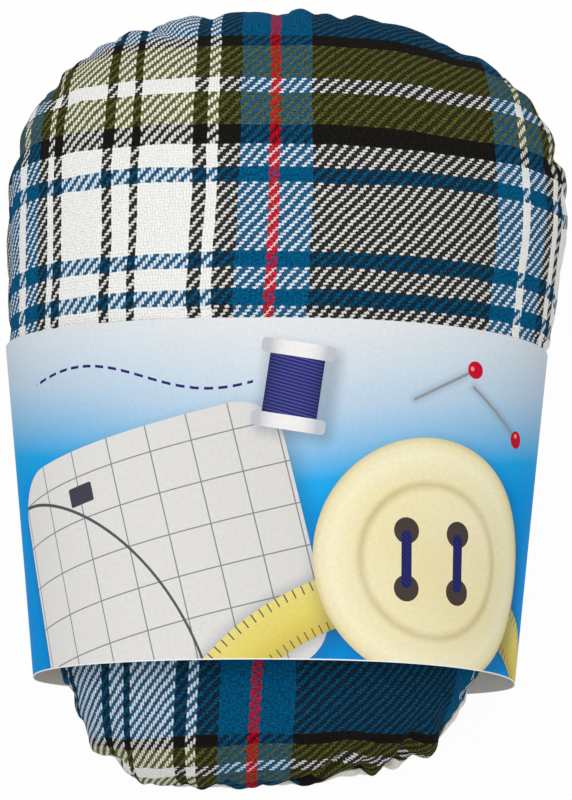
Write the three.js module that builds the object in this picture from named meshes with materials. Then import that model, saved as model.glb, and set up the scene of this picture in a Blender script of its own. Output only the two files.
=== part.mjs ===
// Tailor's ham: a hard-stuffed, egg-shaped pressing cushion. Its upper face is tartan wool and its
// underside is plain cotton, gathered onto one side seam. Inside is a tight lining bag full of
// sawdust. A printed card sleeve is wrapped round the middle and slides off over the narrow end.
// Millimetres: +Z is up, +Y points along the ham to its wide end, and the belly lies on Z = 0.

import * as THREE from 'three';

// Stuffed form
const hamLength = 290;
const hamWidth = 205;
const seamHeight = 50;
const crownRise = 58;
const crownY = 20;
const widestY = 58;

// Fullness of the outline: powers of the superellipse at each end, and the taper to the narrow end
const wideEndPowers = { along: 2.5, across: 2.3 };
const narrowEndPowers = { along: 12, across: 2.2 };
const taperShare = 0.34;
const taperStartShare = 0.6;

// Fullness of the two faces
const facePowers = { out: 2.2, up: 2.1 };
const bellyFlatShare = 0.42;

// Cloth and thread
const woolThickness = 1.2;
const cottonThickness = 0.6;
const liningThickness = 0.5;
const layerGap = 0.3;
const coverAllowance = 7;
const liningAllowance = 5;
const threadDiameter = 0.6;
const stitchInset = 3.5;

// Gathers, deepest round the two ends, and the groove that the tight seam pulls into the side
const rimSegments = 88;
const segmentsPerGather = 4;
const gatherDepth = 1.8;
const gatherReach = 15;
const seamGroove = 1.1;
const seamGrooveReach = 5;
const rimCrowdingShare = 0.5;
const gatherWaves = [{ turns: 5, phase: 1, share: 0.25 }, { turns: 9, phase: 0, share: 0.17 }];

// Filling opening in the side seam, closed by hand with zigzag slip stitches
const openingLength = 60;
const openingEndY = -32;
const stitchCount = 14;
const stitchSpan = 3.2;
const stitchThread = 0.7;

// Card sleeve: a blank that is bent round, overlapped under the belly and glued there. It is tight
// round the thickest part of the ham, and its sides and top run straight on to the narrow mouth, past
// the bulge of the ham at all the taut shares of its length, with the named room added there.
const sleeveMouthY = 14.5;
const sleeveLength = 119;
const cardThickness = 0.4;
const glueThickness = 0.1;
const sleeveClearance = 0.5;
const bellyLiftRoom = 6;
const bellyLiftReach = 14;
const overlapWidth = 20;
const glueMargin = 2;
const mouthSideRoom = 4.2;
const mouthTopRoom = 1.8;
const mouthWidestShare = 0.76;
const tautShares = [1 / 4, 3 / 8, 1 / 2, 5 / 8, 3 / 4, 7 / 8, 1];
const wideMouthPowers = { out: 2.32, up: 2.2 };
const narrowMouthPowers = { out: 2.4, up: 2.2 };

// Rings of points on the two faces, as angles from the side seam (0) to the crown (90 degrees). The
// belly has more rings in its flat patch, at shares of the patch, on the cloth that meets the table.
const faceAngles = [6, 15, 28, 46, 68];
const bellyAngles = [8, 22, 42, 66];
const patchShares = [1, 1 / 3];
const allowanceAngle = 0.5;
const liningSegments = 44;

const materials = {
  wool: new THREE.MeshStandardMaterial({ color: 0x1b5a80, roughness: 0.95, metalness: 0 }),
  cotton: new THREE.MeshStandardMaterial({ color: 0xe6e2d4, roughness: 0.9, metalness: 0 }),
  lining: new THREE.MeshStandardMaterial({ color: 0xd9d0bb, roughness: 0.9, metalness: 0 }),
  thread: new THREE.MeshStandardMaterial({ color: 0xf2efe6, roughness: 0.7, metalness: 0 }),
  sawdust: new THREE.MeshStandardMaterial({ color: 0xb58a58, roughness: 1, metalness: 0 }),
  card: new THREE.MeshStandardMaterial({ color: 0x9cc4e2, roughness: 0.25, metalness: 0 }),
  glue: new THREE.MeshStandardMaterial({ color: 0xe8e0c0, roughness: 0.4, metalness: 0 }),
};

const centre = new THREE.Vector3(0, crownY, 0);
const bellyLift = cardThickness * 2 + glueThickness + sleeveClearance;

// Half the width of the egg outline at a distance y along the ham.
function outlineHalfWidth(y) {
  const wide = y >= widestY;
  const reach = wide ? hamLength / 2 - widestY : hamLength / 2 + widestY;
  const share = Math.min(1, Math.abs(y - widestY) / reach);
  const powers = wide ? wideEndPowers : narrowEndPowers;
  const rounding = (1 - share ** powers.along) ** (1 / powers.across);
  const taper = wide ? 0 : taperShare * share ** 2 * (1 + taperStartShare) / (share + taperStartShare);
  return hamWidth / 2 * rounding * (1 - taper);
}

// Point of the outline in one direction from the centre, found by halving the interval.
function outlinePoint(angle) {
  const direction = new THREE.Vector3(Math.sin(angle), -Math.cos(angle), 0);
  const point = new THREE.Vector3();
  const halvings = 40;
  let inside = 0;
  let outside = hamLength;
  for (let step = 0; step < halvings; step += 1) {
    const middle = (inside + outside) / 2;
    point.copy(direction).multiplyScalar(middle).add(centre);
    const within = Math.abs(point.y) < hamLength / 2 && Math.abs(point.x) < outlineHalfWidth(point.y);
    if (within) inside = middle;
    else outside = middle;
  }
  return point;
}

const outlineSamples = 360;
const outline = new THREE.CatmullRomCurve3(
  Array.from({ length: outlineSamples }, (_, k) => outlinePoint(2 * Math.PI * k / outlineSamples)),
  true,
);
outline.arcLengthDivisions = outlineSamples * 4;

// Stations round the rim, from the narrow tip by the +X side to the wide tip and back. They crowd
// together at both ends, where the cloth is gathered: ease is 1 at the tips and 0 at the sides.
function rimStations(segments) {
  return Array.from({ length: segments }, (_, k) => {
    const turn = 2 * Math.PI * k / segments;
    const share = turn / (2 * Math.PI) - rimCrowdingShare * Math.sin(2 * turn) / (4 * Math.PI);
    const point = outline.getPointAt(share);
    const tangent = outline.getTangentAt(share);
    const normal = new THREE.Vector3(tangent.y, -tangent.x, 0).normalize();
    const ease = (1 + Math.cos(2 * turn)) / 2;
    const wave = (1 - Math.cos(turn * rimSegments / segmentsPerGather)) / 2;
    const uneven = gatherWaves.reduce((sum, { turns, phase, share: part }) => (
      sum + part * Math.sin(turns * turn + phase)), 1);
    return { point, normal, gather: ease * wave * uneven };
  });
}

const coverStations = rimStations(rimSegments);
const liningStations = rimStations(liningSegments);

// Profile of the upper face: share of the way out from the centre, and share of the rise.
function faceProfile(degrees) {
  const angle = THREE.MathUtils.degToRad(degrees);
  return { out: Math.cos(angle) ** (2 / facePowers.out), rise: Math.sin(angle) ** (2 / facePowers.up) };
}

// Height of the crown line at a distance y along the ham, on the narrow side of the crown.
function crownLineHeight(y) {
  const out = (crownY - y) / (hamLength / 2 + crownY);
  const angle = Math.acos(out ** (facePowers.out / 2));
  return seamHeight + crownRise * Math.sin(angle) ** (2 / facePowers.up);
}

// Profile of the belly: a round side that runs smoothly into the flat patch that it lies on.
function bellyProfile(degrees) {
  const angle = THREE.MathUtils.degToRad(degrees);
  return { out: bellyFlatShare + (1 - bellyFlatShare) * Math.cos(angle), rise: Math.sin(angle) };
}

// The belly lifts by the thickness of the card where it lies on the sleeve, and meets the table
// again just past the sleeve's wide mouth.
function liftAt(y) {
  const start = sleeveMouthY + bellyLiftRoom;
  return bellyLift * (1 - THREE.MathUtils.smoothstep(y, start, start + bellyLiftReach));
}

// One ring of points of a face: the rim is moved in by the inset, the seam groove and the gathers.
function faceRing(stations, face, out, rise) {
  const { rimZ, crownZ, inset, below = false } = face;
  const z = rimZ + (crownZ - rimZ) * rise;
  const fromSeam = Math.abs(z - seamHeight);
  const groove = seamGroove * Math.exp(-fromSeam / seamGrooveReach);
  const fade = gatherDepth * Math.exp(-fromSeam / gatherReach);
  return stations.map(({ point, normal, gather }) => {
    const rim = point.clone().addScaledVector(normal, -(inset + groove + fade * gather));
    const place = rim.sub(centre).multiplyScalar(out).add(centre);
    place.z = z + (below ? liftAt(place.y) * rise : 0);
    return place;
  });
}

// Closed solid from a list of point loops of equal length. Loops are joined in turn. The first and
// last are closed to a point each, or to one another where the loops make a ring.
function solidFromLoops(loops, { ring = false, startPole, endPole } = {}) {
  const count = loops[0].length;
  const points = loops.flat();
  const faces = [];
  const rows = ring ? loops.length : loops.length - 1;
  for (let row = 0; row < rows; row += 1) {
    const next = (row + 1) % loops.length;
    for (let k = 0; k < count; k += 1) {
      const after = (k + 1) % count;
      const [a, b] = [row * count + k, row * count + after];
      const [c, d] = [next * count + k, next * count + after];
      faces.push(a, b, d, a, d, c);
    }
  }
  if (!ring) {
    const middleOf = (loop) => loop.reduce((sum, p) => sum.add(p), new THREE.Vector3()).divideScalar(count);
    const last = (loops.length - 1) * count;
    points.push(startPole ?? middleOf(loops[0]), endPole ?? middleOf(loops.at(-1)));
    for (let k = 0; k < count; k += 1) {
      const after = (k + 1) % count;
      faces.push(after, k, points.length - 2);
      faces.push(last + k, last + after, points.length - 1);
    }
  }
  return outwardGeometry(points, faces);
}

// Indexed geometry whose faces all point out, whichever way the loops ran.
function outwardGeometry(points, faces) {
  let volume = 0;
  for (let f = 0; f < faces.length; f += 3) {
    const [a, b, c] = [points[faces[f]], points[faces[f + 1]], points[faces[f + 2]]];
    volume += a.dot(b.clone().cross(c));
  }
  const turned = volume < 0 ? faces.toReversed() : faces;
  const geometry = new THREE.BufferGeometry().setFromPoints(points);
  geometry.setIndex(turned);
  geometry.computeVertexNormals();
  return geometry;
}

// Rings of a face from the seam to the crown, and the point at the crown.
function faceRings(stations, face, angles) {
  const profile = face.below ? bellyProfile : faceProfile;
  const rings = angles.map((degrees) => {
    const { out, rise } = profile(degrees);
    return faceRing(stations, face, out, rise);
  });
  const pole = centre.clone().setZ(face.crownZ);
  if (face.below) {
    for (const share of face.patchShares ?? [1]) {
      rings.push(faceRing(stations, face, bellyFlatShare * share, 1));
    }
    pole.z += liftAt(pole.y);
  }
  return { rings, pole };
}

// Half of a sewn cover: outer face, seam allowance turned in along the seam, and inner face.
function sewnHalf(stations, outer, thickness, allowance) {
  const side = outer.below ? -1 : 1;
  const angles = outer.below ? bellyAngles : faceAngles;
  const inner = {
    rimZ: outer.rimZ + side * thickness,
    crownZ: outer.crownZ - side * thickness,
    inset: outer.inset + thickness,
    below: outer.below,
  };
  const flangeInset = outer.inset + allowance;
  const flange = [outer.rimZ, inner.rimZ].map((z) => stations.map(({ point, normal }) => (
    point.clone().addScaledVector(normal, -flangeInset - gatherDepth).setZ(z))));
  const outside = faceRings(stations, outer, [0, ...angles]);
  const inside = faceRings(stations, inner, [allowanceAngle, ...angles.slice(1)]);
  const loops = [...outside.rings.toReversed(), ...flange, ...inside.rings];
  return solidFromLoops(loops, { startPole: outside.pole, endPole: inside.pole });
}

// Thread that runs round the whole seam, lying on the underside of the seam allowances.
function seamThread(stations, inset, z) {
  const sides = 5;
  const loops = stations.map(({ point, normal }) => Array.from({ length: sides }, (_, k) => {
    const angle = 2 * Math.PI * k / sides;
    const out = -inset + threadDiameter / 2 * Math.cos(angle);
    return point.clone().addScaledVector(normal, out).setZ(z + threadDiameter / 2 * Math.sin(angle));
  }));
  return solidFromLoops(loops, { ring: true });
}

const coverTop = { rimZ: seamHeight + layerGap / 2, crownZ: seamHeight + crownRise, inset: 0 };
const coverBottom = { rimZ: seamHeight - layerGap / 2, crownZ: 0, inset: 0, below: true, patchShares };
const liningInset = coverAllowance + gatherDepth + layerGap * 2;
const liningTop = {
  rimZ: seamHeight + layerGap / 2,
  crownZ: coverTop.crownZ - woolThickness - layerGap,
  inset: liningInset,
};
const liningBottom = {
  rimZ: seamHeight - layerGap / 2,
  crownZ: cottonThickness + layerGap,
  inset: liningInset,
  below: true,
};
const fillingInset = liningInset + liningAllowance + gatherDepth + layerGap * 2;

// Sawdust packed hard into the lining bag, one solid from the crown down to the belly.
function sawdustFilling() {
  const top = {
    rimZ: seamHeight,
    crownZ: liningTop.crownZ - liningThickness - layerGap,
    inset: fillingInset,
  };
  const bottom = {
    rimZ: seamHeight,
    crownZ: liningBottom.crownZ + liningThickness + layerGap,
    inset: fillingInset,
    below: true,
  };
  const upper = faceRings(liningStations, top, [0, ...faceAngles]);
  const lower = faceRings(liningStations, bottom, bellyAngles);
  const loops = [...upper.rings.toReversed(), ...lower.rings];
  return solidFromLoops(loops, { startPole: upper.pole, endPole: lower.pole });
}

// Slip stitches that close the filling opening: one thread that crosses the seam to and fro.
function closingStitches() {
  const groove = seamGroove * Math.exp(-stitchSpan / 2 / seamGrooveReach);
  const stand = layerGap + stitchThread / 2 - groove;
  const points = [];
  for (let k = 0; k <= stitchCount; k += 1) {
    const y = openingEndY - openingLength * k / stitchCount;
    const side = k % 2 === 0 ? 1 : -1;
    points.push(new THREE.Vector3(outlineHalfWidth(y) + stand, y, seamHeight + side * stitchSpan / 2));
  }
  const sides = 6;
  const section = new THREE.Shape(Array.from({ length: sides }, (_, k) => {
    const angle = 2 * Math.PI * k / sides;
    return new THREE.Vector2(Math.cos(angle), Math.sin(angle)).multiplyScalar(stitchThread / 2);
  }));
  const path = new THREE.CatmullRomCurve3(points, false, 'centripetal');
  const stepsPerStitch = 3;
  const steps = stitchCount * stepsPerStitch;
  return new THREE.ExtrudeGeometry(section, { steps, extrudePath: path, bevelEnabled: false });
}

// Right half of one section of the sleeve, from under the belly to the top: a flat, a round side
// and an arch, as [x, z] on the outside of the card.
function sleeveSection(halfWidth, widestZ, topZ, powers) {
  const flatSteps = 3;
  const sideSteps = 8;
  const archSteps = 14;
  const points = [];
  for (let k = 0; k < flatSteps; k += 1) points.push([halfWidth * bellyFlatShare * k / flatSteps, 0]);
  for (let k = 0; k < sideSteps; k += 1) {
    const angle = Math.PI / 2 * (k / sideSteps - 1);
    const out = bellyFlatShare + (1 - bellyFlatShare) * Math.cos(angle);
    points.push([halfWidth * out, widestZ * (1 + Math.sin(angle))]);
  }
  for (let k = 0; k <= archSteps; k += 1) {
    const angle = Math.PI / 2 * k / archSteps;
    const out = Math.abs(Math.cos(angle)) ** (2 / powers.out);
    const x = k === archSteps ? 0 : halfWidth * out;
    points.push([x, widestZ + (topZ - widestZ) * Math.sin(angle) ** (2 / powers.up)]);
  }
  return points;
}

// Path of the card round one mouth: from the inner end of the overlap by the -X side, over the top
// and back under to the outer end. The inner end lies one card and the glue higher.
function sleevePath(section) {
  const inner = cardThickness + glueThickness;
  const left = section.slice(1).map(([x, z]) => [-x, z]);
  const right = section.slice(1, -1).toReversed();
  const start = [[overlapWidth / 2, inner], [0, inner], [-overlapWidth / 2, inner]];
  const end = [[overlapWidth / 2, 0], [0, 0], [-overlapWidth / 2, 0]];
  const clear = ([x, z]) => z > 0 || Math.abs(x) > overlapWidth / 2;
  return [...start, ...left.filter(clear), ...right.filter(clear), ...end];
}

// Reach of the narrow mouth whose straight run from the wide mouth clears the ham's bulge.
function tautReach(wideReach, hamReach) {
  return Math.max(...tautShares.map((share) => {
    const needed = hamReach(sleeveMouthY - sleeveLength * share) + sleeveClearance + cardThickness;
    return wideReach + (needed - wideReach) / share;
  }));
}

// The card itself: its outside and inside points along Y at each point of the path.
function sleeveBand() {
  const wideHalf = outlineHalfWidth(sleeveMouthY) + sleeveClearance + cardThickness;
  const wideTop = crownLineHeight(sleeveMouthY) + sleeveClearance + cardThickness;
  const wide = sleevePath(sleeveSection(wideHalf, seamHeight, wideTop, wideMouthPowers));
  const narrowHalf = tautReach(wideHalf, outlineHalfWidth) + mouthSideRoom;
  const narrowTop = tautReach(wideTop, crownLineHeight) + mouthTopRoom;
  const narrowWidestZ = seamHeight * mouthWidestShare;
  const narrow = sleevePath(sleeveSection(narrowHalf, narrowWidestZ, narrowTop, narrowMouthPowers));
  const spanCount = 3;
  const inward = (path, k) => {
    const [before, after] = [path[Math.max(0, k - 1)], path[Math.min(path.length - 1, k + 1)]];
    return new THREE.Vector2(after[1] - before[1], before[0] - after[0]).normalize();
  };
  const loops = wide.map((_, k) => {
    const outside = [];
    const inside = [];
    for (let span = 0; span <= spanCount; span += 1) {
      const share = span / spanCount;
      const y = sleeveMouthY - sleeveLength * share;
      const x = THREE.MathUtils.lerp(wide[k][0], narrow[k][0], share);
      const z = THREE.MathUtils.lerp(wide[k][1], narrow[k][1], share);
      const turn = inward(wide, k).lerp(inward(narrow, k), share).normalize();
      outside.push(new THREE.Vector3(x, y, z));
      inside.push(new THREE.Vector3(x + turn.x * cardThickness, y, z + turn.y * cardThickness));
    }
    return [...outside, ...inside.toReversed()];
  });
  return solidFromLoops(loops);
}

// Film of glue between the two ends of the card.
function sleeveGlue() {
  return new THREE.BoxGeometry(overlapWidth - glueMargin * 2, sleeveLength - glueMargin * 2, glueThickness);
}

const ham = new THREE.Group();

function addPiece(name, geometry, material) {
  const mesh = new THREE.Mesh(geometry, material);
  mesh.name = name;
  ham.add(mesh);
  return mesh;
}

const { wool, cotton, lining, thread, sawdust, card, glue } = materials;
addPiece('cover_top', sewnHalf(coverStations, coverTop, woolThickness, coverAllowance), wool);
addPiece('cover_bottom', sewnHalf(coverStations, coverBottom, cottonThickness, coverAllowance), cotton);
addPiece('cover_seam_thread', seamThread(coverStations, stitchInset + gatherDepth,
  coverBottom.rimZ - cottonThickness - layerGap * 2 - threadDiameter / 2), thread);
addPiece('closing_stitches', closingStitches(), thread);
addPiece('lining_top', sewnHalf(liningStations, liningTop, liningThickness, liningAllowance), lining);
addPiece('lining_bottom', sewnHalf(liningStations, liningBottom, liningThickness, liningAllowance), lining);
addPiece('lining_seam_thread', seamThread(liningStations, liningInset + gatherDepth + stitchInset,
  liningBottom.rimZ - liningThickness - layerGap * 2 - threadDiameter / 2), thread);
addPiece('sawdust_filling', sawdustFilling(), sawdust);
addPiece('sleeve_band', sleeveBand(), card);
const glueStrip = addPiece('sleeve_glue_strip', sleeveGlue(), glue);
glueStrip.position.set(0, sleeveMouthY - sleeveLength / 2, cardThickness + glueThickness / 2);

export default ham;
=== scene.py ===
# %% [markdown]
# # A tailor's ham in a card sleeve
# A tailor's ham is a hard, egg-shaped cushion that a curved seam is pressed over. Its upper face is a
# tartan wool, its underside is plain cotton, and the two are gathered onto one seam round the side. It is
# sold in a printed card sleeve. The frame that is loaded here holds the solids of the object, in metres.
# The scene dresses them: fine cloth, gathers, a woven pattern and a printed, bent card.

# %% Load the frame
import math

import bpy
import numpy as np
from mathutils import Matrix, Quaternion, Vector, kdtree


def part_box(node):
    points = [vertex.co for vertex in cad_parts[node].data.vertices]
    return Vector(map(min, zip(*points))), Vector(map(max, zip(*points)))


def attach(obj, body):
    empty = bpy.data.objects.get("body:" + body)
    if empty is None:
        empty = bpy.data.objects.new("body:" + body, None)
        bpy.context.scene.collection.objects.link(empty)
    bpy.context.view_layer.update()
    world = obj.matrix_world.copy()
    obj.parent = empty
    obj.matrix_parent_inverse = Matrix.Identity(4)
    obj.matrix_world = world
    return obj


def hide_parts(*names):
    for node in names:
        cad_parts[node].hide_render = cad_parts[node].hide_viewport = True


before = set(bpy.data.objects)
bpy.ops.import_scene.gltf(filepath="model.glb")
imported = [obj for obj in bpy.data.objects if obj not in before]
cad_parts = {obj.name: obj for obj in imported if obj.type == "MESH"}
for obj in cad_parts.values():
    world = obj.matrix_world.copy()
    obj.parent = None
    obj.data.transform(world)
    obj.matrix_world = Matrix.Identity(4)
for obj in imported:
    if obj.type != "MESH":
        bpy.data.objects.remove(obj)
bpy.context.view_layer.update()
mm = 0.001
print("nodes:", sorted(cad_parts))

# %% [markdown]
# ## The view
# The ham is seen almost straight from above, with the narrow end towards us. A long lens at a little over
# a metre keeps the shape plain. The camera is placed by its angle above the table and its distance, then
# turned to look at the middle of the ham and rolled by about a degree, because the ham lies a little askew.

# %% Place the camera
bpy.ops.object.select_all(action="DESELECT")
elevation = math.radians(78.25)
camera_distance = 1.1
camera_roll = math.radians(0.75)
look_at = Vector((2.4 * mm, -2.4 * mm, 50 * mm))
away = Vector((0, -math.cos(elevation), math.sin(elevation)))
bpy.ops.object.camera_add(location=look_at + away * camera_distance)
camera = bpy.context.object
camera.name = "camera"
camera.data.lens = 135.6
camera.rotation_mode = "QUATERNION"
facing = (-away).to_track_quat("-Z", "Y")
camera.rotation_quaternion = facing @ Quaternion((0, 0, 1), camera_roll)
bpy.context.scene.camera = camera
bpy.context.scene.view_settings.view_transform = "Standard"
print("camera at", [round(value, 3) for value in camera.location])

# %% [markdown]
# ## Light, floor and background
# A product picture on white has one wide soft light above and pale surroundings that fill the shadows.
# An area lamp gives the direction, a weak one low on the right opens the narrow end's shadow, and the world
# gives the fill. The world and floor look white to the camera and in reflections, but light the object at a
# plain level, so that its own colours come out as they are written. The floor mixes white with a matt
# surface, so the object still has a faint shadow on it.

# %% Small helpers for materials
def new_material(name):
    """A material that has only its own shader yet, and its node tree."""
    material = bpy.data.materials.new(name)
    material.use_nodes = True
    return material, material.node_tree


def srgb(red, green, blue):
    """Linear colour from the everyday 0 to 255 numbers."""
    shares = [value / 255 for value in (red, green, blue)]
    linear = [v / 12.92 if v <= 0.04045 else ((v + 0.055) / 1.055) ** 2.4 for v in shares]
    return (*linear, 1)


class Value:
    """A number in a material. A sign between two of them, or between one and a plain number, adds a node."""

    def __init__(self, socket):
        self.socket = socket

    def __add__(self, other):
        return calc("ADD", self, other)

    def __sub__(self, other):
        return calc("SUBTRACT", self, other)

    def __rsub__(self, other):
        return calc("SUBTRACT", other, self)

    def __mul__(self, other):
        return calc("MULTIPLY", self, other)

    def __truediv__(self, other):
        return calc("DIVIDE", self, other)


def wire(source, socket):
    """Connect a value or a socket to an input, or write a number, a vector or a colour into it."""
    source = source.socket if isinstance(source, Value) else source
    if isinstance(source, bpy.types.NodeSocket):
        socket.id_data.links.new(source, socket)
    else:
        socket.default_value = source


def calc(operation, *sources, clamp=False):
    """One Math node. Its inputs are values, sockets or plain numbers, and not all are plain."""
    sockets = [source.socket if isinstance(source, Value) else source for source in sources]
    tree = next(source.id_data for source in sockets if isinstance(source, bpy.types.NodeSocket))
    node = tree.nodes.new("ShaderNodeMath")
    node.operation = operation
    node.use_clamp = clamp
    for source, socket in zip(sockets, node.inputs):
        wire(source, socket)
    return Value(node.outputs[0])


def blend_colours(tree, share, first, second, mode="MIX"):
    """One Mix node for colours."""
    node = tree.nodes.new("ShaderNodeMix")
    node.data_type = "RGBA"
    node.blend_type = mode
    wire(share, node.inputs["Factor"])
    wire(first, node.inputs[6])
    wire(second, node.inputs[7])
    return node.outputs[2]


def scaled(tree, colour, factor):
    """A colour times a number."""
    node = tree.nodes.new("ShaderNodeVectorMath")
    node.operation = "SCALE"
    wire(colour, node.inputs[0])
    wire(factor, node.inputs["Scale"])
    return node.outputs[0]


def colour_ramp(tree, value, stops, interpolation="LINEAR"):
    """Colour by a number from 0 to 1. The stops are given in rising order."""
    ramp = tree.nodes.new("ShaderNodeValToRGB")
    ramp.color_ramp.interpolation = interpolation
    elements = ramp.color_ramp.elements
    elements.remove(elements[1])
    for order, (position, colour) in enumerate(stops):
        stop = elements[0] if order == 0 else elements.new(position)
        stop.position, stop.color = position, colour
    wire(value, ramp.inputs[0])
    return ramp.outputs["Color"]


def map_axes(tree, name):
    """A piece's own UV map, and its two numbers on their own."""
    own_map = tree.nodes.new("ShaderNodeUVMap")
    own_map.uv_map = name
    apart = tree.nodes.new("ShaderNodeSeparateXYZ")
    wire(own_map.outputs[0], apart.inputs[0])
    return own_map.outputs[0], Value(apart.outputs[0]), Value(apart.outputs[1])


def set_shader(tree, colour, roughness, **others):
    """Colour and roughness of the material's shader, and any other of its sockets by name."""
    shader = tree.nodes["Principled BSDF"]
    wire(colour, shader.inputs["Base Color"])
    shader.inputs["Roughness"].default_value = roughness
    for title, value in others.items():
        shader.inputs[title.replace("_", " ")].default_value = value


def add_relief(tree, height, strength, distance, socket="Normal"):
    """Bump on the material's shader."""
    bump = tree.nodes.new("ShaderNodeBump")
    bump.inputs["Strength"].default_value = strength
    bump.inputs["Distance"].default_value = distance
    wire(height, bump.inputs["Height"])
    wire(bump.outputs[0], tree.nodes["Principled BSDF"].inputs[socket])


# %% Lamp, world and floor
def studio_rays(tree):
    """1 for what the camera and reflections see, 0 for light that falls on the object."""
    path = tree.nodes.new("ShaderNodeLightPath")
    seen = calc("MAXIMUM", path.outputs["Is Camera Ray"], path.outputs["Is Glossy Ray"])
    return calc("MAXIMUM", seen, path.outputs["Is Transmission Ray"])


fill_strength, floor_glow = 0.42, 0.96
world = bpy.data.worlds.new("studio")
world.use_nodes = True
bpy.context.scene.world = world
background = world.node_tree.nodes["Background"]
background.inputs["Color"].default_value = (1, 1, 1, 1)
seen = studio_rays(world.node_tree)
strength = seen * (1 - fill_strength) + fill_strength
wire(strength, background.inputs["Strength"])

for name, place, size, power in (("top_lamp", (-0.25, 0.25, 1.25), (1.3, 1.0), 9.8),
                                 ("side_lamp", (0.55, -0.5, 0.8), (0.8, 0.6), 1.4)):
    bpy.ops.object.light_add(type="AREA", location=place)
    lamp = bpy.context.object
    lamp.name = name
    lamp.data.shape = "RECTANGLE"
    lamp.data.size, lamp.data.size_y = size
    lamp.data.energy = power
    lamp.rotation_mode = "QUATERNION"
    lamp.rotation_quaternion = lamp.location.to_track_quat("Z", "Y")
    print(name, power, "W")

bpy.ops.mesh.primitive_plane_add(size=8, location=(0, 0, 0))
floor = bpy.context.object
floor.name = "floor"
floor_material, tree = new_material("pale_floor")
set_shader(tree, (0.9, 0.9, 0.9, 1), 1)
glow = tree.nodes.new("ShaderNodeEmission")
glow.inputs["Strength"].default_value = 1
mixed = tree.nodes.new("ShaderNodeMixShader")
wire(studio_rays(tree) * floor_glow, mixed.inputs[0])
wire(tree.nodes["Principled BSDF"].outputs[0], mixed.inputs[1])
wire(glow.outputs[0], mixed.inputs[2])
wire(mixed.outputs[0], tree.nodes["Material Output"].inputs["Surface"])
floor.data.materials.append(floor_material)
print("the world's fill is", fill_strength)

# %% [markdown]
# ## The stuffed form
# The ham is full at one end and narrow at the other, and it is stuffed so hard that its cloth has no
# slack except at the seam. Its plan is an egg and its section is a low dome over a rounded belly. The same
# formulas that shape the solid are used here, so that the fine cloth lies where the solid does: an outline
# of two superellipses, and one profile each for the face and the belly, both drawn towards one centre.

# %% Outline of the ham from above
ham_length, ham_width = 290 * mm, 205 * mm
seam_height, crown_rise = 50 * mm, 58 * mm
crown_y, widest_y = 20 * mm, 58 * mm
wide_end_powers, narrow_end_powers = (2.5, 2.3), (12, 2.2)
taper_share, taper_start_share = 0.34, 0.6
face_powers = (2.2, 2.1)
belly_flat_share = 0.42


def outline_half_width(y):
    """Half the width of the egg at a distance y along the ham."""
    wide = y >= widest_y
    reach = np.where(wide, ham_length / 2 - widest_y, ham_length / 2 + widest_y)
    share = np.minimum(1, np.abs(y - widest_y) / reach)
    along = np.where(wide, wide_end_powers[0], narrow_end_powers[0])
    across = np.where(wide, wide_end_powers[1], narrow_end_powers[1])
    taper = taper_share * share ** 2 * (1 + taper_start_share) / (share + taper_start_share)
    return ham_width / 2 * (1 - share ** along) ** (1 / across) * np.where(wide, 1, 1 - taper)


ray_count, halvings = 2881, 40
ray_angles = np.linspace(0, 2 * np.pi, ray_count)
inside, outside = np.zeros(ray_count), np.full(ray_count, ham_length)
for halving in range(halvings):
    middle = (inside + outside) / 2
    ray_x = middle * np.sin(ray_angles)
    ray_y = crown_y - middle * np.cos(ray_angles)
    within = (np.abs(ray_y) < ham_length / 2) & (np.abs(ray_x) < outline_half_width(ray_y))
    inside = np.where(within, middle, inside)
    outside = np.where(within, outside, middle)
ray_lengths = inside
rim_x = ray_lengths * np.sin(ray_angles)
rim_y = crown_y - ray_lengths * np.cos(ray_angles)
rim_run = np.concatenate([[0], np.cumsum(np.hypot(np.diff(rim_x), np.diff(rim_y)))])
print("the seam is", round(rim_run[-1] / mm), "mm long")


# %% Heights of the face and the belly
def way_out(x, y):
    """0 at the centre and 1 at the rim, for any point in plan."""
    angle = np.arctan2(x, crown_y - y) % (2 * np.pi)
    return np.minimum(1, np.hypot(x, y - crown_y) / np.interp(angle, ray_angles, ray_lengths))


def face_height(x, y):
    """Height of the tartan face above the table."""
    out = way_out(x, y)
    return seam_height + crown_rise * (1 - out ** face_powers[0]) ** (1 / face_powers[1])


def belly_height(x, y):
    """Height of the cotton belly above the table."""
    curl = np.clip((way_out(x, y) - belly_flat_share) / (1 - belly_flat_share), 0, 1)
    return seam_height * (1 - np.sqrt(1 - curl ** 2))


def cloth_run(x, y, height, along_x):
    """Length of cloth from the middle line of the ham to each point, as a tape laid on it would read."""
    samples = 49
    steps = 1 - (1 - np.linspace(0, 1, samples)[None, :]) ** 2
    if along_x:
        path_x, path_y = x[:, None] * steps, np.repeat(y[:, None], samples, 1)
    else:
        path_x, path_y = np.repeat(x[:, None], samples, 1), crown_y + (y - crown_y)[:, None] * steps
    path_z = height(path_x, path_y)
    flat = np.diff(path_x, axis=1) if along_x else np.diff(path_y, axis=1)
    lengths = np.hypot(flat, np.diff(path_z, axis=1)).sum(1)
    return lengths * np.sign(x if along_x else y - crown_y)


half_width = outline_half_width(np.array([widest_y]))
half_cloth = cloth_run(half_width * 0.999, np.array([widest_y]), face_height, True)
print("over the crown, half the width is", round(half_width[0] / mm, 1), "mm in plan and",
      round(half_cloth[0] / mm, 1), "mm of cloth")

# %% [markdown]
# ## The two halves of the cover
# Each half of a real cover is a flat oval of cloth whose edge is drawn up on a thread until it fits the
# seam. The spare cloth stands up in small gathers that are sharpest at the seam and die out over the
# swelling. A mesh with its points crowded at the seam suits this, so each half starts as a flat grid that is
# wound up: its columns go round the ham, its rows climb from the seam to the crown or to the belly.

# %% Small helpers for meshes
def smooth_step(value, start, end):
    """0 up to the start, 1 from the end on, and a smooth rise between."""
    share = np.clip((value - start) / (end - start), 0, 1)
    return share * share * (3 - 2 * share)


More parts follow.
